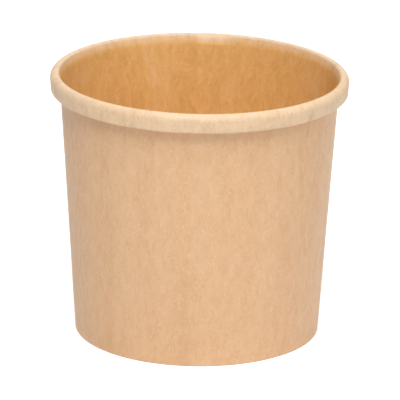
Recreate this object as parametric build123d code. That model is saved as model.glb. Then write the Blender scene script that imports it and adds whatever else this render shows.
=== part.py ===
from build123d import *
import os
from math import degrees, radians, tan

# Paper soup container, in millimetres. The origin is the centre of the foot, on the table, and +Z is up.
# It is made of two pieces of coated kraft board:
#   side_wall  a fan-shaped blank wrapped into a cone and lapped along one side seam. Its top edge is
#              rolled outwards into the rim, and its bottom edge is folded inwards and up as a hem.
#   base_disc  a round blank whose edge is turned down as a skirt and sealed between wall and hem.

# Overall sizes
rim_diameter = 98.0  # over the rolled rim, which takes a 98 mm lid
foot_diameter = 80.6  # over the foot
height = 88.0

# Board
wall_board = 0.45
base_board = 0.40
seal_film = 0.05  # melted coating between two sealed faces

# Rolled rim
roll_width = 3.45  # from the soup side of the wall to the outside of the roll
roll_height = 6.2
roll_top_bend = 1.6  # radius of the roll's face at its top
roll_low_bend = 1.1  # radius of the roll's face at its lower edge
tail_length = 3.2  # end of the board, tucked up between roll and wall
tail_clearance = 0.15  # from the tucked end to the wall where the wall is lapped

# Foot
hem_height = 7.5  # top of the folded hem above the table
crease_radius = 0.08  # inside of the two creases of the fold
base_recess = 8.5  # underside of the base disc above the table
base_bend = 1.2  # radius of the disc's face where its skirt turns down
skirt_clearance = 0.3  # from the skirt's lower edge to the fold

# Side seam
seam_azimuth = 90.5  # the inner lap's cut edge, in degrees from +X, at the back of the container
lap_width = 12.0  # measured round the outside of the wall, just under the rim
ramp_width = 2.5  # the outer lap climbs over the inner one's edge in this width
rim_step = 0.15  # step left at the seam where the roll is pressed
lap_start = 1.0  # the seam is pressed flat from the table up to here
lap_full = 3.5  # and has its full thickness from here up
press_start = 0.5  # it thins again from this far below the roll
press_end = 0.6  # and is pressed to the rim's step this far below the roll's top bend

least_bend = 0.04  # the tightest inside radius that a bend is drawn with

# Radii of the wall's soup side, where it would meet the table and the top
rim_radius = rim_diameter / 2
foot_face_radius = foot_diameter / 2 - wall_board
top_face_radius = rim_radius - roll_width
slope = (top_face_radius - foot_face_radius) / height
channel_width = base_board + 2 * seal_film  # between wall and hem, where the skirt sits


def wall_face(z):
    """Radius of the side wall's soup side at a height."""
    return foot_face_radius + slope * z


def point(radius, z):
    return Vector(radius, 0, z)


def right_of(direction):
    """The unit vector to the right of a direction of travel in the section plane."""
    return Vector(direction.Z, 0, -direction.X)


def beside(corners, offsets):
    """The corners of a line to the right of the given one, each at its own offset."""
    runs = [(after - before).normalized() for before, after in zip(corners, corners[1:])]
    moved = []
    for corner, offset, arriving, leaving in zip(corners, offsets, runs[:1] + runs, runs + runs[-1:]):
        first, second = right_of(arriving), right_of(leaving)
        moved.append(corner + (first + second) * (offset / (1 + first.dot(second))))
    return moved


def bent_line(corners, bends, offsets):
    """Edges of one face of the board: straight runs, with an arc at each corner that has a bend.
    A bend is the arc's radius at offset 0, positive where the line turns left and negative where it
    turns right, so the radius grows or shrinks with the offset as it does on bent board."""
    line = beside(corners, offsets)
    edges = []
    start = line[0]
    for before, corner, after, bend, offset in zip(line, line[1:], line[2:], bends, offsets[1:]):
        arriving = (corner - before).normalized()
        leaving = (after - corner).normalized()
        radius = 0 if bend == 0 else max(abs(bend + offset), least_bend)
        reach = radius * tan(radians(arriving.get_angle(leaving)) / 2)
        arc_start = corner - arriving * reach
        arc_end = corner + leaving * reach
        edges.append(Line(start, arc_start))
        if radius > 0:
            edges.append(TangentArc(arc_start, arc_end, tangent=arriving))
        start = arc_end
    edges.append(Line(start, line[-1]))
    return edges


def turned(edges, start, end):
    """Faces that the section's edges sweep round the axis from one azimuth to another."""
    return [Face.revolve(Rot(0, 0, start) * edge, end - start, Axis.Z) for edge in edges]


def climbing(edges, start, other_edges, end):
    """Faces that run straight from each edge at one azimuth to its like at another."""
    faces = []
    for edge, other in zip(edges, other_edges):
        faces.append(Face.make_surface_from_curves(Rot(0, 0, start) * edge, Rot(0, 0, end) * other))
    return faces


def cut_edge(edges, other_edges, azimuth):
    """Flat faces across the board's cut edge, between each edge and its like where the two differ."""
    faces = []
    for edge, other in zip(edges, other_edges):
        ends = [(edge @ 0, other @ 0), (edge @ 1, other @ 1)]
        sides = [Line(one, two) for one, two in ends if one != two]
        if sides:
            faces.append((Rot(0, 0, azimuth) * make_face([edge, other, *sides])).face())
    return faces


def end_edges(near, far):
    """The two ends of the board, from its near face to its far one."""
    return [Line(near[0] @ 0, far[0] @ 0), Line(near[-1] @ 1, far[-1] @ 1)]


def wall_corners():
    """Corners of the side wall's soup side, from the hem's end round to the rim's tucked end, each
    with its bend and with the step that the seam makes there."""
    roll_low = height - roll_height
    tail_offset = 2 * wall_board + tail_clearance
    top_bend = min(roll_top_bend, roll_width / 2)
    low_bend = min(roll_low_bend, (rim_radius - wall_face(roll_low) - tail_offset) / 2)
    under_rim = roll_low - press_start
    into_roll = height - top_bend - press_end
    corners = [
        (wall_face(hem_height) - channel_width, hem_height, None, wall_board),
        (wall_face(lap_full) - channel_width, lap_full, 0, wall_board),
        (wall_face(lap_start) - channel_width, lap_start, 0, 0),
        (wall_face(wall_board) - channel_width, wall_board, crease_radius, 0),
        (wall_face(wall_board), wall_board, crease_radius, 0),
        (wall_face(lap_start), lap_start, 0, 0),
        (wall_face(lap_full), lap_full, 0, wall_board),
        (wall_face(under_rim), under_rim, 0, wall_board),
        (wall_face(into_roll), into_roll, 0, rim_step),
        (top_face_radius, height, -top_bend, rim_step),
        (rim_radius, height, -top_bend, rim_step),
        (rim_radius, roll_low, -low_bend, rim_step),
        (wall_face(roll_low) + tail_offset, roll_low, -low_bend, rim_step),
        (wall_face(roll_low + tail_length) + tail_offset, roll_low + tail_length, None, rim_step),
    ]
    places = [point(radius, z) for radius, z, _, _ in corners]
    bends = [bend for _, _, bend, _ in corners[1:-1]]
    steps = [step for _, _, _, step in corners]
    return places, bends, steps


def make_side_wall():
    """The wrapped blank: single board most of the way round, a ramp, and the double lap."""
    places, bends, steps = wall_corners()
    near = bent_line(places, bends, [0] * len(places))
    far = bent_line(places, bends, [wall_board] * len(places))
    climbed_near = bent_line(places, bends, steps)
    climbed_far = bent_line(places, bends, [wall_board + step for step in steps])

    seam_radius = wall_face(height - roll_height) + wall_board
    lap_end = seam_azimuth - degrees(lap_width / seam_radius)
    ramp_end = seam_azimuth + degrees(ramp_width / seam_radius)
    single = [*near, *far, *end_edges(near, far)]
    double = [*near, *climbed_far, *end_edges(near, climbed_far)]
    climbed = [*climbed_near, *climbed_far, *end_edges(climbed_near, climbed_far)]
    faces = turned(single, ramp_end - 360, lap_end)
    faces += turned(double, lap_end, seam_azimuth)
    faces += climbing(climbed, seam_azimuth, single, ramp_end)
    faces += cut_edge(near, climbed_near, seam_azimuth)
    faces += cut_edge(far, climbed_far, lap_end)
    return Solid(Shell(faces))


def make_base_disc():
    """The round blank, with its edge turned down between the wall and the hem."""
    top = base_recess + base_board
    skirt_low = wall_board + skirt_clearance
    places = [
        point(0, top),
        point(wall_face(top) - seal_film, top),
        point(wall_face(skirt_low) - seal_film, skirt_low),
    ]
    near = bent_line(places, [-base_bend], [0] * 3)
    far = bent_line(places, [-base_bend], [base_board] * 3)
    return revolve(make_face([*near, *far, *end_edges(near, far)]), Axis.Z)


os.makedirs("parts", exist_ok=True)
export_step(make_side_wall(), "parts/side_wall.step")
export_step(make_base_disc(), "parts/base_disc.step")
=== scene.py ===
from math import atan, cos, pi, radians, sin, tan

import bpy
from bpy.props import FloatProperty, FloatVectorProperty, IntProperty, PointerProperty
from mathutils import Color, Matrix, Vector


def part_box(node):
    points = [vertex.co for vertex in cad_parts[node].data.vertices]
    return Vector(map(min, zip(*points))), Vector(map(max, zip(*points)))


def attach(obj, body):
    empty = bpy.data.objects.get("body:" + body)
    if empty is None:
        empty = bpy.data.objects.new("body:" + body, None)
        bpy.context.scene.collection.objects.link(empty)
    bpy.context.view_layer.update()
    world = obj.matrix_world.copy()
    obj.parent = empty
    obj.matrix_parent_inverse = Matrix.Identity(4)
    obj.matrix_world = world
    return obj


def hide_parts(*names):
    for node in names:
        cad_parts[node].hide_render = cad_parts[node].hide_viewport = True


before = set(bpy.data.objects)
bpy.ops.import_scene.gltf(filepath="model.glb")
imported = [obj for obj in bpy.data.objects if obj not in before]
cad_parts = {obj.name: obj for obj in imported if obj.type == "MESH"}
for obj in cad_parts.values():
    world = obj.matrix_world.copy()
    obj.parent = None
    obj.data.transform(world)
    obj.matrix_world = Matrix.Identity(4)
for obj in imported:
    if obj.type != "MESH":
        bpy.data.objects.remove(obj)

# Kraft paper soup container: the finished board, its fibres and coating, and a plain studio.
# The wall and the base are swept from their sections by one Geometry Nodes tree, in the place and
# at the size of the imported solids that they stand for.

bl_info = {
    "name": "Kraft Soup Tub",
    "version": (1, 0, 0),
    "blender": (4, 5, 0),
    "location": "View3D > Sidebar > Soup Tub",
    "description": "Wraps kraft board into a soup tub with a rolled rim, a lapped seam and a hemmed foot",
    "category": "Add Mesh",
}

FULL_TURN = 2 * pi
FRONT = radians(270)  # azimuth of the side that the photographed view faces
BLANK_MAP = "blank"  # UV map that holds each point's place on the flat blank
# The roll's paler colour is partly stress whitening of the stretched board and partly a painted highlight of
# the lit rim.
PALE_ROLL_AND_HIGHLIGHT = "stretched"  # attribute that is 1 where the board is stretched round the roll
MERGE_DISTANCE = 1e-6
SHARP_ANGLE = radians(35)
MILLIMETRE = 0.001

BLANK_WIDTH = 0.4  # side of the square of flat board that the UV map covers
BEND_ROWS = 8  # rows of points round each bend of a section
LEAST_BEND = 0.04 * MILLIMETRE  # the tightest inside radius that a bend is drawn with
RIDGE_FADE = 1.5 * MILLIMETRE  # the hem's ridges start and end in this height
SWAY_FADE = 20 * MILLIMETRE  # the wall starts to sway in this height above the hem's lap
LIP_FADE = 6.0  # columns in which the lip is drawn down from the lap's edge

HALFWAY = 0.5  # from one column, or one side of the board, to the next
NEAR_HALFWAY = 0.25  # a face this close to halfway spans both columns or both sides
SAME_COLUMN = 0.1  # columns closer than this are one

TABLE_HALF = 4.0  # from the middle of the table top to its edge
TABLE_ROUGHNESS = 0.9
TABLE_GLOW = 0.55  # how far the table is lifted towards white, for the eye only
SENSOR_WIDTH = 36  # in millimetres
CLIP_END = 20
AIM_HEIGHT = 0.04165  # height of the point that the camera is aimed about

TUB_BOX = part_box("side_wall")
BASE_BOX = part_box("base_disc")


def metres(value, name, description):
    """A length property whose default is given in metres."""
    return FloatProperty(
        name=name, description=description, default=value, min=0, precision=5, unit="LENGTH"
    )


def millimetres(value, name, description):
    """A length property whose default is given in millimetres."""
    return metres(value * MILLIMETRE, name, description)


def angular(value, name, description):
    """An angle property whose default is given in radians."""
    return FloatProperty(name=name, description=description, default=value, subtype="ANGLE")


def watts(value, name, description):
    """The power of a lamp, in watts."""
    return FloatProperty(name=name, description=description, default=value, min=0)


def paint(red, green, blue, name, description):
    """A colour property whose default is given as it looks on screen, from 0 to 255."""
    shown = Color((red / 255, green / 255, blue / 255)).from_srgb_to_scene_linear()
    return FloatVectorProperty(
        name=name, description=description, default=tuple(shown), subtype="COLOR", size=3, min=0, max=1
    )


class TubBoard(bpy.types.PropertyGroup):
    """Sizes of the two pieces of board and of the side seam."""

    wall_board: millimetres(0.45, "Wall Board", "Thickness of the side wall's board")
    base_board: millimetres(0.40, "Base Board", "Thickness of the base disc's board")
    seal_film: millimetres(0.05, "Seal Film", "Melted coating between two sealed faces")
    lap_width: millimetres(12.0, "Lap Width", "Width of the side seam, round the wall just under the rim")
    ramp_width: millimetres(2.5, "Ramp Width", "Width in which the outer lap climbs over the inner one")
    rim_step: millimetres(0.15, "Rim Step", "Step left at the seam where the roll is pressed")
    lap_start: millimetres(1.0, "Lap Start", "Height up to which the seam is pressed flat")
    lap_full: millimetres(3.5, "Lap Full", "Height above which the seam has its full thickness")
    skive: millimetres(1.0, "Skive", "Width over which the inner lap's cut edge is rubbed down")
    seam_azimuth: angular(radians(90.5), "Seam Azimuth", "Place of the inner lap's cut edge, turned from +X")
    sway: millimetres(0.06, "Sway", "How far the board's faces wander inwards from their true place")
    rim_dip: millimetres(0.63, "Rim Dip", "How much lower the rim stands on its right than on its left")
    sway_length: millimetres(26.0, "Sway Length", "Size of one wave of that wandering")


class TubRim(bpy.types.PropertyGroup):
    """Sizes of the rolled rim."""

    radius: metres(TUB_BOX[1].x, "Radius", "Outside radius of the rim")
    height: metres(TUB_BOX[1].z, "Height", "Top of the rim")
    roll_width: millimetres(3.45, "Roll Width", "From the soup side of the wall to the outside of the roll")
    roll_height: millimetres(6.2, "Roll Height", "Height of the roll")
    flare_start: millimetres(3.0, "Flare Start", "The wall starts to open out this far below the top")
    flare_bend: millimetres(8.0, "Flare Bend", "Radius of the wall's face where it opens out")
    flare: millimetres(0.6, "Flare", "How far the wall has opened out at the top")
    top_bend: millimetres(1.02, "Top Bend", "Radius of the roll's face where the wall turns over")
    outer_bend: millimetres(2.05, "Outer Bend", "Radius of the roll's face at its outer shoulder")
    low_bend: millimetres(0.8, "Low Bend", "Radius of the roll's face at its lower edge")
    lean: angular(radians(4.5), "Lean", "How far the roll's face leans in towards its lower edge")
    # The roll's paling is partly stress whitening and partly a painted highlight of the lit rim.
    pale_and_highlight_depth: millimetres(3.0, "Paling", "The stretched board starts to pale this far below the top")
    pale_and_highlight_length: millimetres(1.9, "Paling Length", "Length in which the board turns pale")
    tail_length: millimetres(3.2, "Tail Length", "End of the board, tucked up between roll and wall")
    tail_clearance: millimetres(0.15, "Tail Clearance", "From the tucked end to the wall at the seam")
    press_start: millimetres(0.5, "Press Start", "The seam thins from this far below the roll")
    lap_drop: millimetres(0.9, "Lap Drop", "How much lower the lip turns into the wall where it is lapped")
    lap_drop_reach: millimetres(4.0, "Lap Drop Reach", "The lip is drawn down from this far below the top")


class TubFoot(bpy.types.PropertyGroup):
    """Sizes of the folded hem and of the base disc's skirt."""

    radius: millimetres(40.3, "Radius", "Outside radius that the wall would have on the table")
    hem_height: millimetres(7.5, "Hem Height", "Top of the folded hem above the table")
    crease_radius: millimetres(0.08, "Crease Radius", "Inside of the two creases of the fold")
    base_top: metres(BASE_BOX[1].z, "Base Top", "Upper face of the base disc above the table")
    base_bend: millimetres(1.2, "Base Bend", "Radius of the disc's face where its skirt turns down")
    skirt_clearance: millimetres(0.3, "Skirt Clearance", "From the skirt's lower edge to the fold")
    ridges: IntProperty(
        name="Ridges", description="Ridges pressed into the hem, all the way round", default=120, min=12
    )
    ridge_depth: millimetres(0.14, "Ridge Depth", "Depth of the grooves between the hem's ridges")
    base_sag: millimetres(0.25, "Base Sag", "How far the base disc wanders down from flat")


class TubFinish(bpy.types.PropertyGroup):
    """Colours of the board, its fibres and its coated side."""

    kraft: paint(226, 182, 139, "Kraft", "Bare kraft board of the outer face")
    coated: paint(230, 180, 108, "Coated", "Kraft board seen through the soup side's coating")
    # Rolled is partly stress whitening and partly a painted highlight of the lit rim.
    rolled: paint(229, 197, 160, "Rolled", "Coated board stretched pale over the rolled rim")
    core: paint(214, 172, 128, "Core", "Cut edge of the board")
    pale_fibre: paint(246, 216, 180, "Pale Fibre", "Bleached fibres and flecks in the board")
    dark_fibre: paint(180, 124, 66, "Dark Fibre", "Brown fibres and shives in the board")
    speck: paint(138, 92, 56, "Speck", "Bark specks in the board")


class TubStudio(bpy.types.PropertyGroup):
    """Camera, lamps and floor."""

    elevation: angular(radians(18.045), "Elevation", "Camera's angle above the table")
    roll: angular(0.0133, "Roll", "Camera's turn about its own axis")
    distance: metres(1.47, "Distance", "From the camera to the point that it is aimed about")
    lens: FloatProperty(name="Lens", description="Focal length in millimetres", default=400.7)
    aim_right: millimetres(0.66, "Aim Right", "The view's centre, to the right of the tub's axis")
    aim_up: millimetres(2.02, "Aim Up", "The view's centre, above the point that the camera is aimed about")
    key_lamp: watts(19.9, "Key Lamp", "Power of the high lamp in front")
    back_lamp: watts(5.8, "Back Lamp", "Power of the high lamp behind")
    side_lamp: watts(5.6, "Side Lamp", "Power of the lamp on the right")
    fill_lamp: watts(3.9, "Fill Lamp", "Power of the low lamp in front")
    lamp_size: metres(0.9, "Lamp Size", "Side of each square lamp")
    lamp_distance: metres(1.5, "Lamp Distance", "From each lamp to the tub's middle")
    floor: paint(235, 235, 235, "Floor", "Colour of the table top")


class Wiring:
    """Adds nodes to a tree in reading order and joins each one to what it takes."""

    NODES_IN_ROW = 12
    SPACING = (190, 300)

    def __init__(self, tree):
        self.tree = tree

    def node(self, kind, *values, **settings):
        """A node with its settings; values fill its shown inputs in order, sockets by links."""
        row, column = divmod(len(self.tree.nodes), self.NODES_IN_ROW)
        node = self.tree.nodes.new(kind)
        node.location = (column * self.SPACING[0], -row * self.SPACING[1])
        for name, setting in settings.items():
            setattr(node, name, setting)
        shown = [socket for socket in node.inputs if socket.enabled]
        for socket, value in zip(shown, values):
            self.join(value, socket)
        return node

    def join(self, value, socket):
        """Links a socket to an input, or sets the input to a plain value."""
        if isinstance(value, bpy.types.NodeSocket):
            self.tree.links.new(value, socket)
        elif value is not None:
            socket.default_value = value

    def add(self, kind, *values, **settings):
        """The first shown output of a new node."""
        made = self.node(kind, *values, **settings)
        return next(socket for socket in made.outputs if socket.enabled)

    def maths(self, operation, *values):
        return self.add("ShaderNodeMath", *values, operation=operation)

    def vector_maths(self, operation, *values):
        return self.add("ShaderNodeVectorMath", *values, operation=operation)

    def ramp(self, value, low, high, to_low=0.0, to_high=1.0):
        """A value carried from one range to another, and kept inside it."""
        return self.add("ShaderNodeMapRange", value, low, high, to_low, to_high)

    def blend(self, amount, first, second):
        """A colour between two colours."""
        return self.add("ShaderNodeMix", amount, first, second, data_type="RGBA")

    def noise(self, place, stretch, scale, detail=2.0, roughness=0.5, distortion=0.0):
        """Noise from 0 to 1 on coordinates that are stretched first."""
        stretched = self.vector_maths("MULTIPLY", place, stretch)
        return self.add("ShaderNodeTexNoise", stretched, scale, detail, roughness, 2.0, distortion)


def new_group(name, kind, inputs, outputs):
    """An empty node group with named sockets: inputs are (name, type, default), outputs (name, type)."""
    tree = bpy.data.node_groups.new(name, kind)
    for label, socket_type, default in inputs:
        socket = tree.interface.new_socket(name=label, in_out="INPUT", socket_type=socket_type)
        if default is not None:
            socket.default_value = default
    for label, socket_type in outputs:
        tree.interface.new_socket(name=label, in_out="OUTPUT", socket_type=socket_type)
    return tree


# The board's section: corners, bends and sampled lines, in the plane of the axis


def point(radius, z):
    return Vector((radius, 0, z))


def right_of(direction):
    """The unit vector to the right of a direction of travel in the section plane."""
    return Vector((direction.z, 0, -direction.x))


def beside(corners, offsets):
    """The corners of a line to the right of the given one, each at its own offset."""
    runs = [(after - before).normalized() for before, after in zip(corners, corners[1:])]
    moved = []
    for corner, offset, arriving, leaving in zip(corners, offsets, runs[:1] + runs, runs + runs[-1:]):
        first, second = right_of(arriving), right_of(leaving)
        moved.append(corner + (first + second) * (offset / (1 + first.dot(second))))
    return moved


def clamped(value):
    return min(max(value, 0.0), 1.0)


def arc(start, arriving, leaving, radius):
    """Points of an arc from its start, through the turn between two directions."""
    turn = arriving.angle(leaving)
    turns_right = right_of(arriving).dot(leaving) > 0
    inwards = right_of(arriving) * (1 if turns_right else -1)
    centre = start + inwards * radius
    spoke = start - centre
    axis = Vector((0, 1, 0)) * (1 if turns_right else -1)
    turns = [turn * row / BEND_ROWS for row in range(BEND_ROWS + 1)]
    return [centre + Matrix.Rotation(turned, 3, axis) @ spoke for turned in turns]


def bent_line(corners, bends, offsets, run_rows):
    """Points along one face of the board: straight runs, with an arc at each corner that has a bend.
    A bend is positive where the line turns left and negative where it turns right."""
    line = beside(corners, offsets)
    points = [line[0]]
    start = line[0]
    turns = zip(line, line[1:], line[2:], bends, offsets[1:], run_rows)
    for before, corner, after, bend, offset, rows in turns:
        arriving = (corner - before).normalized()
        leaving = (after - corner).normalized()
        radius = 0 if bend == 0 else max(abs(bend + offset), LEAST_BEND)
        reach = radius * tan(arriving.angle(leaving) / 2)
        turning = corner - arriving * reach
        points += [start.lerp(turning, row / rows) for row in range(1, rows)]
        points += [corner] if bend == 0 else arc(turning, arriving, leaving, radius)
        start = corner + leaving * reach
    rows = run_rows[-1]
    return points + [start.lerp(line[-1], row / rows) for row in range(1, rows + 1)]


def along(points, origin, at_origin):
    """Distance along a line at each of its points, counted so that one point has a given value."""
    total = 0.0
    distances = [0.0]
    for before, after in zip(points, points[1:]):
        total += (after - before).length
        distances.append(total)
    return [at_origin + distance - distances[origin] for distance in distances]


def section_mesh(name, places, kinds):
    """A section as a bare line of points that carries named values for the sweep."""
    mesh = bpy.data.meshes.new(name)
    mesh.from_pydata(places, [(n, n + 1) for n in range(len(places) - 1)], [])
    for label, (kind, values) in kinds.items():
        attribute = mesh.attributes.new(label, kind, "POINT")
        for item, value in zip(attribute.data, values):
            if kind == "FLOAT":
                item.value = value
            else:
                item.vector = value
    return mesh


# The sweep that makes both pieces of board

SWEEP_INPUTS = [
    ("Section", "NodeSocketGeometry", None),
    ("Ridges", "NodeSocketInt", 120),
    ("Columns per Ridge", "NodeSocketInt", 4),
    ("Ridge Depth", "NodeSocketFloat", 0.0),
    ("Seam Azimuth", "NodeSocketFloat", 0.0),
    ("Lap Angle", "NodeSocketFloat", 0.0),
    ("Ramp Angle", "NodeSocketFloat", 0.0),
    ("Skive Angle", "NodeSocketFloat", 0.0),
    ("Rim Dip", "NodeSocketFloat", 0.0),
    ("Sway", "NodeSocketFloat", 0.0),
    ("Sway Length", "NodeSocketFloat", 0.02),
    ("Sway Radius", "NodeSocketFloat", 0.04),
    ("Seed", "NodeSocketFloat", 0.0),
    ("Fan Ratio", "NodeSocketFloat", 1.0),
    ("Blank Middle", "NodeSocketFloat", 0.0),
    ("Blank Width", "NodeSocketFloat", 0.4),
    ("Soup Side", "NodeSocketMaterial", None),
    ("Kraft Side", "NodeSocketMaterial", None),
    ("Cut Edge", "NodeSocketMaterial", None),
]


def sweep_columns(build, given):
    """Number of the last column of the single board, the lap and the ramp. Each part has its own
    first column, so that the board's cut edges stand between two columns at one azimuth."""
    per_turn = build.maths("MULTIPLY", given["Ridges"], given["Columns per Ridge"])
    lapped = build.maths("ADD", given["Lap Angle"], given["Ramp Angle"])
    single = build.maths("SUBTRACT", FULL_TURN, lapped)
    last = -1.0
    ends = []
    for angle in (single, given["Lap Angle"], given["Ramp Angle"]):
        share = build.maths("DIVIDE", angle, FULL_TURN)
        columns = build.maths("MAXIMUM", build.maths("ROUND", build.maths("MULTIPLY", share, per_turn)), 1.0)
        last = build.maths("ADD", build.maths("ADD", last, 1.0), columns)
        ends.append(last)
    return single, ends


def board_sweep():
    """Geometry Nodes tree that sweeps a section round the axis, laps it, presses ridges into the
    hem, lets the faces wander a little, and notes each point's place on the flat blank."""
    tree = new_group("Board Sweep", "GeometryNodeTree", SWEEP_INPUTS, [("Board", "NodeSocketGeometry")])
    build = Wiring(tree)
    given = build.node("NodeGroupInput").outputs
    single_angle, (single_end, lap_end, ramp_end) = sweep_columns(build, given)

    rows = build.add("GeometryNodeAttributeDomainSize", given["Section"])
    columns = build.maths("ADD", ramp_end, 1.0)
    grid = build.add("GeometryNodeMeshGrid", 1.0, 1.0, columns, rows)
    index = build.add("GeometryNodeInputIndex")
    row = build.maths("MODULO", index, rows)

    def on_section(name, kind):
        value = build.add("GeometryNodeInputNamedAttribute", name, data_type=kind)
        return build.add("GeometryNodeSampleIndex", given["Section"], value, row, data_type=kind)

    def shifted(place, name, amount):
        """A place moved along the section's vector of that name."""
        way = on_section(name, "FLOAT_VECTOR")
        move = build.add("ShaderNodeVectorMath", way, amount, operation="SCALE")
        return build.vector_maths("ADD", place, move)

    noted = build.tree.nodes.new("GeometryNodeCaptureAttribute")
    for label in ("Column", "Kraft Side", "Slant"):
        noted.capture_items.new("FLOAT", label)
    build.join(grid, noted.inputs["Geometry"])
    build.join(build.maths("FLOOR", build.maths("DIVIDE", index, rows)), noted.inputs["Column"])
    build.join(on_section("kraft_side", "FLOAT"), noted.inputs["Kraft Side"])
    build.join(on_section("slant", "FLOAT"), noted.inputs["Slant"])
    column, kraft_side, slant = (noted.outputs[label] for label in ("Column", "Kraft Side", "Slant"))

    # Azimuth, which runs one full turn from the ramp's end
    lap_start = build.maths("ADD", single_end, 1.0)
    ramp_start = build.maths("ADD", lap_end, 1.0)
    through_ramp = build.ramp(column, ramp_start, ramp_end)
    azimuth = build.maths("ADD", given["Seam Azimuth"], given["Ramp Angle"])
    azimuth = build.maths("ADD", azimuth, build.ramp(column, 0.0, single_end, 0.0, single_angle))
    azimuth = build.maths("ADD", azimuth, build.ramp(column, lap_start, lap_end, 0.0, given["Lap Angle"]))
    azimuth = build.maths("MULTIPLY_ADD", through_ramp, given["Ramp Angle"], azimuth)

    # The inner lap's cut edge is rubbed down to a slope
    at_edge = build.maths("COMPARE", column, ramp_start, SAME_COLUMN)
    rubbed = build.maths("MULTIPLY", at_edge, build.maths("SUBTRACT", 1.0, kraft_side))
    azimuth = build.maths("MULTIPLY_ADD", rubbed, given["Skive Angle"], azimuth)

    # Where the outer lap covers the inner one, on either face of the board
    outer_cut = build.maths("ADD", single_end, HALFWAY)
    inner_cut = build.maths("ADD", lap_end, HALFWAY)
    outside = build.maths("GREATER_THAN", column, outer_cut)
    inside = build.maths("GREATER_THAN", column, inner_cut)
    laps = build.maths("MULTIPLY_ADD", build.maths("SUBTRACT", outside, inside), kraft_side, inside)
    lifted = build.maths("MULTIPLY", laps, build.maths("SUBTRACT", 1.0, through_ramp))
    into_lap = build.ramp(column, lap_start, build.maths("ADD", lap_start, LIP_FADE))
    only_lap = build.maths("MULTIPLY", into_lap, build.maths("SUBTRACT", 1.0, inside))

    section = build.add("GeometryNodeInputPosition")
    place = build.add("GeometryNodeSampleIndex", given["Section"], section, row, data_type="FLOAT_VECTOR")
    place = shifted(place, "lift", lifted)
    place = shifted(place, "lip", only_lap)

    # Ridges of the hem, in step with the columns
    before = build.maths("SUBTRACT", build.maths("SUBTRACT", column, outside), inside)
    phase = build.maths("DIVIDE", build.maths("MULTIPLY", before, FULL_TURN), given["Columns per Ridge"])
    groove = build.maths("MULTIPLY_ADD", build.maths("COSINE", phase), -0.5, 0.5)
    place = shifted(place, "ridged", build.maths("MULTIPLY", given["Ridge Depth"], groove))

    # Slow wandering of the board, the same on both faces
    around = build.add("ShaderNodeCombineXYZ", given["Sway Radius"], 0.0, slant)
    around = build.add("ShaderNodeVectorRotate", around, (0, 0, 0), azimuth, rotation_type="Z_AXIS")
    waves = build.maths("DIVIDE", 1.0, given["Sway Length"])
    wander = build.add("ShaderNodeTexNoise", around, given["Seed"], waves, 1.0, 0.5, noise_dimensions="4D")
    place = shifted(place, "sway", build.maths("MULTIPLY", wander, given["Sway"]))

    # The rim stands lower on the right
    on_right = build.maths("MULTIPLY_ADD", build.maths("COSINE", azimuth), 0.5, 0.5)
    place = shifted(place, "dip", build.maths("MULTIPLY", on_right, given["Rim Dip"]))
    place = build.add("ShaderNodeVectorRotate", place, (0, 0, 0), azimuth, rotation_type="Z_AXIS")
    board = build.add("GeometryNodeSetPosition", noted.outputs["Geometry"], True, place)

    # Place on the flat blank, a fan that opens from the cone's tip
    face_column = build.add("GeometryNodeFieldOnDomain", column, domain="FACE", data_type="FLOAT")
    off_seam = build.maths("ABSOLUTE", build.maths("SUBTRACT", face_column, inner_cut))
    mapped_laps = build.maths("MULTIPLY", laps, build.maths("GREATER_THAN", off_seam, NEAR_HALFWAY))
    unrolled = build.maths("MULTIPLY_ADD", mapped_laps, -FULL_TURN, build.maths("SUBTRACT", azimuth, FRONT))
    unrolled = build.maths("MULTIPLY", unrolled, build.maths("MULTIPLY", given["Fan Ratio"], -1.0))
    on_blank = build.add("ShaderNodeCombineXYZ", 0.0, slant, 0.0)
    on_blank = build.add("ShaderNodeVectorRotate", on_blank, (0, 0, 0), unrolled, rotation_type="Z_AXIS")
    middle = build.add("ShaderNodeCombineXYZ", 0.0, given["Blank Middle"], 0.0)
    scale = build.maths("DIVIDE", 1.0, given["Blank Width"])
    on_map = build.add(
        "ShaderNodeVectorMath", build.vector_maths("SUBTRACT", on_blank, middle), scale, operation="SCALE"
    )
    on_map = build.vector_maths("ADD", on_map, (0.5, 0.5, 0))
    board = build.add(
        "GeometryNodeStoreNamedAttribute", board, True, BLANK_MAP, on_map,
        data_type="FLOAT2", domain="CORNER",
    )

    # Where the board is stretched into the roll: the mask that pales the rim, partly as stress whitening and
    # partly as a painted highlight of the lit rim
    board = build.add(
        "GeometryNodeStoreNamedAttribute", board, True, PALE_ROLL_AND_HIGHLIGHT, on_section(PALE_ROLL_AND_HIGHLIGHT, "FLOAT"),
        data_type="FLOAT", domain="POINT",
    )

    # Which faces are coated, bare or cut
    from_lap = build.maths("ABSOLUTE", build.maths("SUBTRACT", column, outer_cut))
    cut = build.maths("LESS_THAN", from_lap, NEAR_HALFWAY)
    from_middle = build.maths("ABSOLUTE", build.maths("SUBTRACT", kraft_side, HALFWAY))
    between = build.maths("LESS_THAN", from_middle, NEAR_HALFWAY)
    faces = build.tree.nodes.new("GeometryNodeCaptureAttribute")
    faces.domain = "FACE"
    for label in ("Bare", "Cut"):
        faces.capture_items.new("BOOLEAN", label)
    build.join(board, faces.inputs["Geometry"])
    build.join(build.maths("GREATER_THAN", kraft_side, HALFWAY), faces.inputs["Bare"])
    build.join(build.maths("MAXIMUM", cut, between), faces.inputs["Cut"])

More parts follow.
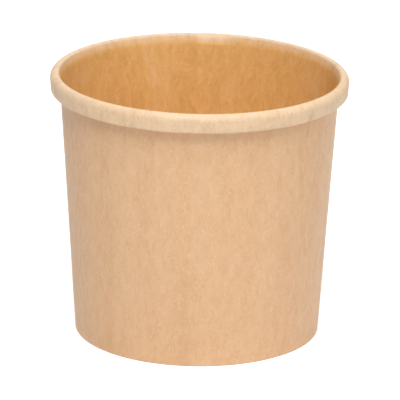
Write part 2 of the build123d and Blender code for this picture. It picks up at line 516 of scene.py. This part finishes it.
    board = build.add("GeometryNodeMergeByDistance", faces.outputs["Geometry"], True, MERGE_DISTANCE)
    board = build.add("GeometryNodeSetShadeSmooth", board, True, True, domain="FACE")
    sharp = build.maths("GREATER_THAN", build.add("GeometryNodeInputMeshEdgeAngle"), SHARP_ANGLE)
    board = build.add("GeometryNodeSetShadeSmooth", board, sharp, False, domain="EDGE")
    board = build.add("GeometryNodeRealizeInstances", board)
    board = build.add("GeometryNodeSetMaterial", board, True, given["Soup Side"])
    board = build.add("GeometryNodeSetMaterial", board, faces.outputs["Bare"], given["Kraft Side"])
    board = build.add("GeometryNodeSetMaterial", board, faces.outputs["Cut"], given["Cut Edge"])
    build.node("NodeGroupOutput", board)
    return tree


def swept_board(name, section, values):
    """A piece of board as a plain mesh, swept from its section."""
    tree = bpy.data.node_groups.get("Board Sweep") or board_sweep()
    piece = bpy.data.objects.new(name, section)
    bpy.context.scene.collection.objects.link(piece)
    modifier = piece.modifiers.new("Board Sweep", "NODES")
    modifier.node_group = tree
    for socket in tree.interface.items_tree:
        if socket.in_out == "INPUT" and socket.name in values:
            modifier[socket.identifier] = values[socket.name]
    evaluated = piece.evaluated_get(bpy.context.evaluated_depsgraph_get())
    mesh = bpy.data.meshes.new_from_object(evaluated)
    mesh.name = name
    piece.modifiers.remove(modifier)
    piece.data = mesh
    bpy.data.meshes.remove(section)
    return piece


# Materials of the board

FIBRE_INPUTS = [
    ("Place", "NodeSocketVector", None),
    ("Board", "NodeSocketColor", (0.7, 0.5, 0.3, 1)),
    ("Pale Fibre", "NodeSocketColor", (0.9, 0.7, 0.5, 1)),
    ("Dark Fibre", "NodeSocketColor", (0.4, 0.2, 0.1, 1)),
    ("Speck", "NodeSocketColor", (0.1, 0.05, 0.03, 1)),
    ("Clouds", "NodeSocketFloat", 0.5),
    ("Grain", "NodeSocketFloat", 0.5),
    ("Fibres", "NodeSocketFloat", 0.5),
    ("Specks", "NodeSocketFloat", 0.5),
]


def kraft_fibres():
    """Shader group: clouds, grain, curled fibres and specks of kraft board. Place is in millimetres
    on the flat blank, with the grain along Y."""
    tree = new_group(
        "Kraft Fibres",
        "ShaderNodeTree",
        FIBRE_INPUTS,
        [("Color", "NodeSocketColor"), ("Height", "NodeSocketFloat"), ("Polish", "NodeSocketFloat")],
    )
    build = Wiring(tree)
    given = build.node("NodeGroupInput").outputs
    place = given["Place"]

    bands = build.noise(place, stretch=(1.0, 0.10, 1.0), scale=0.11)
    clouds = build.noise(
        place, stretch=(1.0, 0.45, 1.0), scale=0.42, detail=4.0, roughness=0.6, distortion=0.6
    )
    grain = build.noise(place, stretch=(1.0, 0.12, 1.0), scale=2.6, detail=3.0, roughness=0.6)
    tooth = build.noise(place, stretch=(1.0, 0.6, 1.0), scale=4.5)

    # Clouds count for more than the broad bands
    cloud_weight = 1.5
    shade = build.maths("SUBTRACT", bands, 0.5)
    shade = build.maths("MULTIPLY_ADD", build.maths("SUBTRACT", clouds, 0.5), cloud_weight, shade)
    shade = build.maths("MULTIPLY", shade, given["Clouds"])
    streaks = build.maths("MULTIPLY", build.maths("SUBTRACT", grain, 0.5), given["Grain"])
    shade = build.maths("ADD", shade, streaks)
    pale = build.blend(build.ramp(shade, 0.0, 1.0), given["Board"], given["Pale Fibre"])
    tinted = build.blend(build.ramp(shade, 0.0, -1.0), pale, given["Dark Fibre"])

    # Range of the noise in which a fibre's end fades
    fibre_end = 0.06

    def curls(shift, stretch, scale, width, share):
        """Thin curled lines, in short lengths."""
        moved = build.vector_maths("ADD", place, shift)
        lines = build.noise(moved, stretch, scale, roughness=0.45, distortion=1.2)
        lines = build.maths("ABSOLUTE", build.maths("SUBTRACT", lines, 0.5))
        lines = build.ramp(lines, width, 0.0)
        lengths = build.noise(moved, stretch=(1.0, 1.0, 1.0), scale=0.75, detail=1.0)
        parts = build.ramp(lengths, share, share + fibre_end)
        return build.maths("MULTIPLY", build.maths("MULTIPLY", lines, parts), given["Fibres"])

    def dashes(shift, scale, start):
        """Short straight fibres that lie along the grain."""
        moved = build.vector_maths("ADD", place, shift)
        found = build.noise(moved, stretch=(1.0, 0.34, 1.0), scale=scale, distortion=0.5)
        return build.maths("MULTIPLY", build.ramp(found, start, start + fibre_end), given["Fibres"])

    pale_curls = curls((31.0, 7.0, 3.0), stretch=(1.0, 0.5, 1.0), scale=0.9, width=0.022, share=0.52)
    dark_curls = curls((-17.0, 23.0, 9.0), stretch=(1.0, 0.7, 1.0), scale=0.8, width=0.016, share=0.56)
    pale_dashes = dashes((0.0, 0.0, 0.0), scale=2.0, start=0.63)
    dark_dashes = dashes((5.0, 11.0, 27.0), scale=2.3, start=0.66)
    light = build.maths("MAXIMUM", pale_curls, pale_dashes)
    dark = build.maths("MAXIMUM", dark_curls, dark_dashes)
    fibred = build.blend(light, tinted, given["Pale Fibre"])
    fibred = build.blend(dark, fibred, given["Dark Fibre"])

    # Specks stand in some of the cells, as soft dots, and are pressed in while fibres stand out
    speck_scale, least_chosen = 0.42, 0.72
    speck_edge, speck_core = 0.065, 0.035
    fibre_height, speck_height = 0.35, -0.4
    cells = build.node("ShaderNodeTexVoronoi", place, speck_scale, 0.0)
    chance = build.add("ShaderNodeSeparateColor", cells.outputs["Color"])
    chosen = build.maths("GREATER_THAN", chance, least_chosen)
    dots = build.maths("MULTIPLY", build.ramp(cells.outputs["Distance"], speck_edge, speck_core), chosen)
    dots = build.maths("MULTIPLY", dots, given["Specks"])
    colour = build.blend(dots, fibred, given["Speck"])

    height = build.maths("MULTIPLY_ADD", tooth, 0.5, build.maths("MULTIPLY", grain, 0.5))
    height = build.maths("MULTIPLY_ADD", light, fibre_height, height)
    height = build.maths("MULTIPLY_ADD", dots, speck_height, height)
    build.node("NodeGroupOutput", colour, height, clouds)
    return tree


def board_material(name, place, colour, levels, roughness, bump, coat, rolled=None):
    """A kraft board finish. Its pattern lies on the flat blank, or on the object where place is None.
    Levels are those of clouds, grain, fibres and specks. Roughness goes from its lowest to its
    highest, bump is a strength and a depth in millimetres, and coat a weight and a roughness."""
    finish = bpy.context.scene.tub_finish
    material = bpy.data.materials.new(name)
    material.use_nodes = True
    material.node_tree.nodes.clear()
    build = Wiring(material.node_tree)
    if place is None:
        where = build.node("ShaderNodeTexCoord").outputs["Object"]
        size, shift = 1 / MILLIMETRE, (0, 0, 0)
    else:
        where = build.add("ShaderNodeUVMap", uv_map=BLANK_MAP)
        size, shift = BLANK_WIDTH / MILLIMETRE, place
    where = build.add("ShaderNodeMapping", where, shift, (0, 0, 0), (size, size, size))

    group = build.tree.nodes.new("ShaderNodeGroup")
    group.node_tree = bpy.data.node_groups.get("Kraft Fibres") or kraft_fibres()
    colours = (colour, finish.pale_fibre, finish.dark_fibre, finish.speck)
    values = [where, *[(*tone, 1) for tone in colours], *levels]
    for socket, value in zip(group.inputs, values):
        build.join(value, socket)
    # The stretched mask blends in the rolled colour: partly stress whitening, partly a painted highlight of
    # the lit rim.
    if rolled is not None:
        stretched = build.node("ShaderNodeAttribute", attribute_name=PALE_ROLL_AND_HIGHLIGHT).outputs["Fac"]
        board = build.blend(stretched, (*colour, 1), (*rolled, 1))
        build.join(board, group.inputs["Board"])

    low, high = roughness
    least_polish, most_polish = 0.3, 0.7
    rough = build.ramp(group.outputs["Polish"], least_polish, most_polish, high, low)
    strength, depth = bump
    relief = build.node("ShaderNodeBump")
    build.join(strength, relief.inputs["Strength"])
    build.join(depth * MILLIMETRE, relief.inputs["Distance"])
    build.join(group.outputs["Height"], relief.inputs["Height"])
    shader = build.node("ShaderNodeBsdfPrincipled")
    build.join(group.outputs["Color"], shader.inputs["Base Color"])
    build.join(rough, shader.inputs["Roughness"])
    build.join(relief.outputs["Normal"], shader.inputs["Normal"])
    coat_weight, coat_roughness = coat
    build.join(coat_weight, shader.inputs["Coat Weight"])
    build.join(coat_roughness, shader.inputs["Coat Roughness"])
    build.node("ShaderNodeOutputMaterial", shader.outputs[0])
    return material


def board_finishes():
    """The three finishes of the board, made once and used by both pieces."""
    if "kraft_outside" in bpy.data.materials:
        return [bpy.data.materials[name] for name in ("coated_soup_side", "kraft_outside", "cut_board_edge")]
    finish = bpy.context.scene.tub_finish
    # The soup side's rolled colour is partly a painted highlight of the lit rim.
    soup = board_material(
        "coated_soup_side", (0, 0, 40), finish.coated, levels=(0.66, 0.45, 0.4, 0.7),
        roughness=(0.48, 0.60), bump=(0.25, 0.05), coat=(0.2, 0.5), rolled=finish.rolled,
    )
    kraft = board_material(
        "kraft_outside", (0, 0, 0), finish.kraft, levels=(0.44, 0.30, 0.38, 0.7),
        roughness=(0.44, 0.56), bump=(0.35, 0.08), coat=(0.0, 0.3),
    )
    cut = board_material(
        "cut_board_edge", None, finish.core, levels=(0.3, 0.8, 0.6, 0.3),
        roughness=(0.85, 0.95), bump=(0.6, 0.10), coat=(0.0, 0.3),
    )
    return soup, kraft, cut


# Sections of the two pieces


def wall_faces(board, rim, foot):
    """Radii of the wall's soup side on the table and at the top, and its slope between them."""
    foot_face = foot.radius - board.wall_board
    top_face = rim.radius - rim.roll_width
    return foot_face, top_face, (top_face - foot_face) / rim.height


def side_wall_section(board, rim, foot):
    """Section of the wrapped wall, from the hem's end down, under, up the wall and round the roll."""
    foot_face, top_face, slope = wall_faces(board, rim, foot)
    channel = board.base_board + 2 * board.seal_film
    roll_low = rim.height - rim.roll_height
    under_rim = roll_low - rim.press_start
    lip_foot = rim.height - rim.flare_start
    lip_top = top_face + rim.flare
    tail_offset = 2 * board.wall_board + rim.tail_clearance
    shoulder = rim.radius + rim.outer_bend * (1 + sin(rim.lean) - cos(rim.lean)) / cos(rim.lean)
    low_edge = shoulder - rim.roll_height * tan(rim.lean)
    full, pressed, flat = board.wall_board, board.rim_step, 0.0

    def face(z):
        return foot_face + slope * z

    # Radius, height, bend, the seam's step there, and rows of the run that leads to the corner
    corners = [
        (face(foot.hem_height) - channel, foot.hem_height, None, full, None),
        (face(board.lap_full) - channel, board.lap_full, 0, full, 4),
        (face(board.lap_start) - channel, board.lap_start, 0, flat, 3),
        (face(board.wall_board) - channel, board.wall_board, foot.crease_radius, flat, 1),
        (face(board.wall_board), board.wall_board, foot.crease_radius, flat, 1),
        (face(board.lap_start), board.lap_start, 0, flat, 1),
        (face(board.lap_full), board.lap_full, 0, full, 1),
        (face(under_rim), under_rim, 0, full, 16),
        (face(lip_foot), lip_foot, -rim.flare_bend, pressed, 3),
        (lip_top, rim.height, -rim.top_bend, pressed, 1),
        (shoulder, rim.height, -rim.outer_bend, pressed, 1),
        (low_edge, roll_low, -rim.low_bend, pressed, 3),
        (face(roll_low) + tail_offset, roll_low, -rim.low_bend, pressed, 1),
        (face(roll_low + rim.tail_length) + tail_offset, roll_low + rim.tail_length, None, pressed, 3),
    ]
    places = [point(radius, z) for radius, z, *_ in corners]
    bends = [bend for _, _, bend, _, _ in corners[1:-1]]
    steps = [step for *_, step, _ in corners]
    run_rows = [rows for *_, rows in corners[1:]]

    def face_line(offsets):
        return bent_line(places, bends, offsets, run_rows)

    near = face_line([0.0] * len(places))
    far = face_line([board.wall_board] * len(places))
    climbed_near = face_line(steps)
    climbed_far = face_line([board.wall_board + step for step in steps])
    lowest = min(range(len(near)), key=lambda n: (near[n] - places[4]).length)
    half_angle = atan(slope)
    slant = along(near, lowest, near[lowest].x / sin(half_angle))

    line = near + far[::-1]
    lifts = [after - before for before, after in zip(near, climbed_near)]
    lifts += [after - before for before, after in zip(far, climbed_far)][::-1]
    slants = slant + slant[::-1]
    sides = [0.0] * len(near) + [1.0] * len(far)
    hem_end = places[0].z
    on_hem = [p.x < places[3].x and places[3].z < p.z for p in line]
    ridged = []
    for spot, side, hemmed in zip(line, sides, on_hem):
        from_ends = min(spot.z - board.lap_start, hem_end - spot.z) / RIDGE_FADE
        depth = clamped(from_ends) if side and hemmed else 0.0
        ridged.append(Vector((depth, 0, 0)))
    sway = [Vector((-clamped((spot.z - board.lap_full) / SWAY_FADE), 0, 0)) for spot in line]
    dip = [Vector((0, 0, -spot.z / rim.height)) for spot in line]
    lip = []
    for spot, side in zip(line, sides):
        down = 0.0
        if not side and foot.radius < spot.x < lip_top + rim.top_bend:
            rise = (spot.z - rim.height + rim.lap_drop_reach) / (rim.lap_drop_reach - rim.top_bend)
            fall = (lip_top + rim.top_bend - spot.x) / rim.top_bend
            down = clamped(min(rise, fall)) if spot.z > roll_low else 0.0
        lip.append(Vector((0, 0, -rim.lap_drop * down)))

    # The board pales round the roll, partly as stress whitening and partly as a painted highlight of the lit
    # rim.
    pale_and_highlight_start = face(rim.height - rim.pale_and_highlight_depth) / sin(half_angle)
    stretched = [clamped((distance - pale_and_highlight_start) / rim.pale_and_highlight_length) for distance in slants]

    values = {
        "kraft_side": ("FLOAT", sides),
        "slant": ("FLOAT", slants),
        PALE_ROLL_AND_HIGHLIGHT: ("FLOAT", stretched),
        "lift": ("FLOAT_VECTOR", lifts),
        "ridged": ("FLOAT_VECTOR", ridged),
        "sway": ("FLOAT_VECTOR", sway),
        "lip": ("FLOAT_VECTOR", lip),
        "dip": ("FLOAT_VECTOR", dip),
    }
    closed = {label: (kind, given + given[:1]) for label, (kind, given) in values.items()}
    fan_ratio = sin(half_angle)
    middle = (min(slant) + max(slant)) / 2
    return section_mesh("side_wall_section", line + line[:1], closed), fan_ratio, middle


def base_disc_section(board, rim, foot):
    """Section of the base disc, from its centre out and down the skirt."""
    foot_face, _, slope = wall_faces(board, rim, foot)
    skirt_low = board.wall_board + foot.skirt_clearance
    top = foot.base_top
    places = [
        point(0, top),
        point(foot_face + slope * top - board.seal_film, top),
        point(foot_face + slope * skirt_low - board.seal_film, skirt_low),
    ]
    flat_rows, skirt_rows = 14, 4
    run_rows = (flat_rows, skirt_rows)
    near = bent_line(places, [-foot.base_bend], [0.0] * 3, run_rows)
    far = bent_line(places, [-foot.base_bend], [board.base_board] * 3, run_rows)
    slant = along(near, 0, 0.0)
    line = near + far[::-1]
    nothing = [Vector((0, 0, 0)) for _ in line]
    free_radius = places[1].x - 2 * foot.base_bend
    # The disc sags fully over the inner half of its radius
    sway = [Vector((0, 0, -clamped((free_radius - spot.x) / free_radius * 2))) for spot in line]
    values = {
        "kraft_side": ("FLOAT", [0.0] * len(near) + [1.0] * len(far)),
        "slant": ("FLOAT", slant + slant[::-1]),
        PALE_ROLL_AND_HIGHLIGHT: ("FLOAT", [0.0] * len(line)),
        "lift": ("FLOAT_VECTOR", nothing),
        "ridged": ("FLOAT_VECTOR", nothing),
        "sway": ("FLOAT_VECTOR", sway),
        "lip": ("FLOAT_VECTOR", nothing),
        "dip": ("FLOAT_VECTOR", nothing),
    }
    return section_mesh("base_disc_section", line, values)


class TUB_OT_side_wall(bpy.types.Operator):
    """Wrap the side wall, with its seam, rolled rim and folded hem"""

    bl_idname = "tub.side_wall"
    bl_label = "Side Wall"

    def execute(self, context):
        board, rim, foot = context.scene.tub_board, context.scene.tub_rim, context.scene.tub_foot
        section, fan_ratio, middle = side_wall_section(board, rim, foot)
        soup, kraft, cut = board_finishes()
        spread = rim.radius - rim.roll_width - foot.radius
        under_rim = foot.radius + spread * (1 - rim.roll_height / rim.height)
        values = {
            "Ridges": foot.ridges,
            "Ridge Depth": foot.ridge_depth,
            "Seam Azimuth": board.seam_azimuth,
            "Lap Angle": board.lap_width / under_rim,
            "Ramp Angle": board.ramp_width / under_rim,
            "Skive Angle": board.skive / under_rim,
            "Rim Dip": board.rim_dip,
            "Sway": board.sway,
            "Sway Length": board.sway_length,
            "Sway Radius": rim.radius,
            "Fan Ratio": fan_ratio,
            "Blank Middle": middle,
            "Blank Width": BLANK_WIDTH,
            "Soup Side": soup,
            "Kraft Side": kraft,
            "Cut Edge": cut,
        }
        wall = swept_board("wrapped_wall", section, values)
        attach(wall, "root")
        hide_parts("side_wall")
        return {"FINISHED"}


class TUB_OT_base_disc(bpy.types.Operator):
    """Press the base disc, with its skirt turned down between the wall and the hem"""

    bl_idname = "tub.base_disc"
    bl_label = "Base Disc"

    def execute(self, context):
        board, rim, foot = context.scene.tub_board, context.scene.tub_rim, context.scene.tub_foot
        soup, kraft, cut = board_finishes()
        # The disc has no ridges, so their number only sets its columns. Its seed is its own.
        values = {
            "Ridges": 48,
            "Sway": foot.base_sag,
            "Sway Length": board.sway_length,
            "Sway Radius": 0.0,
            "Seed": 3.0,
            "Blank Width": BLANK_WIDTH,
            "Soup Side": soup,
            "Kraft Side": kraft,
            "Cut Edge": cut,
        }
        disc = swept_board("pressed_base", base_disc_section(board, rim, foot), values)
        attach(disc, "root")
        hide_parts("base_disc")
        return {"FINISHED"}


class TUB_OT_studio(bpy.types.Operator):
    """Set the pale table, the soft lamps and the camera"""

    bl_idname = "tub.studio"
    bl_label = "Studio"

    def execute(self, context):
        studio = context.scene.tub_studio
        make_floor(studio)
        make_lamps(studio)
        make_surroundings()
        make_camera(studio)
        context.scene.view_settings.view_transform = "Standard"
        return {"FINISHED"}


def seen_directly(build):
    """1 for rays that show the surroundings themselves: from the camera, in gloss and through glass."""
    rays = build.node("ShaderNodeLightPath").outputs
    seen = build.maths("MAXIMUM", rays["Is Camera Ray"], rays["Is Glossy Ray"])
    return build.maths("MAXIMUM", seen, rays["Is Transmission Ray"])


def make_floor(studio):
    """A wide table top, lifted to white for the eye only, so that it keeps the tub's shadow."""
    corners = [
        (across * TABLE_HALF, deep * TABLE_HALF, 0) for across, deep in ((-1, -1), (1, -1), (1, 1), (-1, 1))
    ]
    mesh = bpy.data.meshes.new("table_top")
    mesh.from_pydata(corners, [], [(0, 1, 2, 3)])
    floor = bpy.data.objects.new("table_top", mesh)
    bpy.context.scene.collection.objects.link(floor)
    material = bpy.data.materials.new("table_white")
    material.use_nodes = True
    material.node_tree.nodes.clear()
    build = Wiring(material.node_tree)
    shader = build.node("ShaderNodeBsdfPrincipled", (*studio.floor, 1), 0.0, TABLE_ROUGHNESS)
    shader.inputs["Specular IOR Level"].default_value = 0.0
    strength = build.maths("MULTIPLY", seen_directly(build), TABLE_GLOW)
    glow = build.add("ShaderNodeEmission", (1, 1, 1, 1), strength)
    both = build.add("ShaderNodeAddShader", shader.outputs[0], glow)
    build.node("ShaderNodeOutputMaterial", both)
    mesh.materials.append(material)


def make_lamps(studio):
    """Square soft lamps that face the tub's middle, each from its own side and height."""
    middle = Vector((0, 0, TUB_BOX[1].z / 2))
    # Name, power, and azimuth and elevation in degrees
    for name, energy, azimuth, elevation in (
        ("key_lamp", studio.key_lamp, 260, 60),
        ("back_lamp", studio.back_lamp, 90, 60),
        ("side_lamp", studio.side_lamp, 350, 30),
        ("fill_lamp", studio.fill_lamp, 270, 15),
    ):
        data = bpy.data.lights.new(name, "AREA")
        data.energy = energy
        data.size = studio.lamp_size
        outwards = Vector((cos(radians(elevation)), 0, sin(radians(elevation))))
        outwards.rotate(Matrix.Rotation(radians(azimuth), 3, "Z"))
        lamp = bpy.data.objects.new(name, data)
        lamp.location = middle + outwards * studio.lamp_distance
        lamp.rotation_euler = outwards.to_track_quat("Z", "Y").to_euler()
        bpy.context.scene.collection.objects.link(lamp)


def make_surroundings():
    """A white room that is only seen, directly or in gloss; the lamps alone give the light."""
    world = bpy.data.worlds.new("white_room")
    world.use_nodes = True
    world.node_tree.nodes.clear()
    build = Wiring(world.node_tree)
    room = build.add("ShaderNodeBackground", (1, 1, 1, 1), seen_directly(build))
    build.node("ShaderNodeOutputWorld", room)
    bpy.context.scene.world = world


def make_camera(studio):
    """The camera at the photographed angle, with its own small offsets and roll."""
    data = bpy.data.cameras.new("camera")
    data.sensor_width = SENSOR_WIDTH
    data.lens = studio.lens
    data.clip_end = CLIP_END
    camera = bpy.data.objects.new("camera", data)
    middle = Vector((0, 0, AIM_HEIGHT))
    back = Matrix.Rotation(-studio.elevation, 3, "X") @ Vector((0, -1, 0))
    turned = Matrix.Rotation(studio.roll, 3, back)
    right = turned @ Vector((1, 0, 0))
    up = back.cross(right)
    place = middle + back * studio.distance + right * studio.aim_right + up * studio.aim_up
    axes = Matrix((right, up, back)).transposed().to_4x4()
    camera.matrix_world = Matrix.Translation(place) @ axes
    bpy.context.scene.collection.objects.link(camera)
    bpy.context.scene.camera = camera


class TUB_PT_panel(bpy.types.Panel):
    """Sizes, finishes and making of the soup tub"""

    bl_label = "Soup Tub"
    bl_space_type = "VIEW_3D"
    bl_region_type = "UI"
    bl_category = "Soup Tub"

    def draw(self, context):
        scene = context.scene
        for label, group, operator in (
            ("Board and Seam", scene.tub_board, None),
            ("Rolled Rim", scene.tub_rim, "tub.side_wall"),
            ("Foot", scene.tub_foot, "tub.base_disc"),
            ("Finish", scene.tub_finish, None),
            ("Studio", scene.tub_studio, "tub.studio"),
        ):
            box = self.layout.box()
            box.label(text=label)
            for name in group.__annotations__:
                box.prop(group, name)
            if operator:
                box.operator(operator)


GROUPS = {
    "tub_board": TubBoard,
    "tub_rim": TubRim,
    "tub_foot": TubFoot,
    "tub_finish": TubFinish,
    "tub_studio": TubStudio,
}
OPERATORS = (TUB_OT_side_wall, TUB_OT_base_disc, TUB_OT_studio)


def register():
    for name, group in GROUPS.items():
        bpy.utils.register_class(group)
        setattr(bpy.types.Scene, name, PointerProperty(type=group))
    for operator in OPERATORS:
        bpy.utils.register_class(operator)
    bpy.utils.register_class(TUB_PT_panel)


def unregister():
    bpy.utils.unregister_class(TUB_PT_panel)
    for operator in reversed(OPERATORS):
        bpy.utils.unregister_class(operator)
    for name, group in reversed(GROUPS.items()):
        delattr(bpy.types.Scene, name)
        bpy.utils.unregister_class(group)


def main():
    """Makes the whole tub and its studio."""
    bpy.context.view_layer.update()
    register()
    bpy.ops.tub.studio()
    bpy.ops.tub.side_wall()
    bpy.ops.tub.base_disc()


if __name__ == "__main__":
    main()
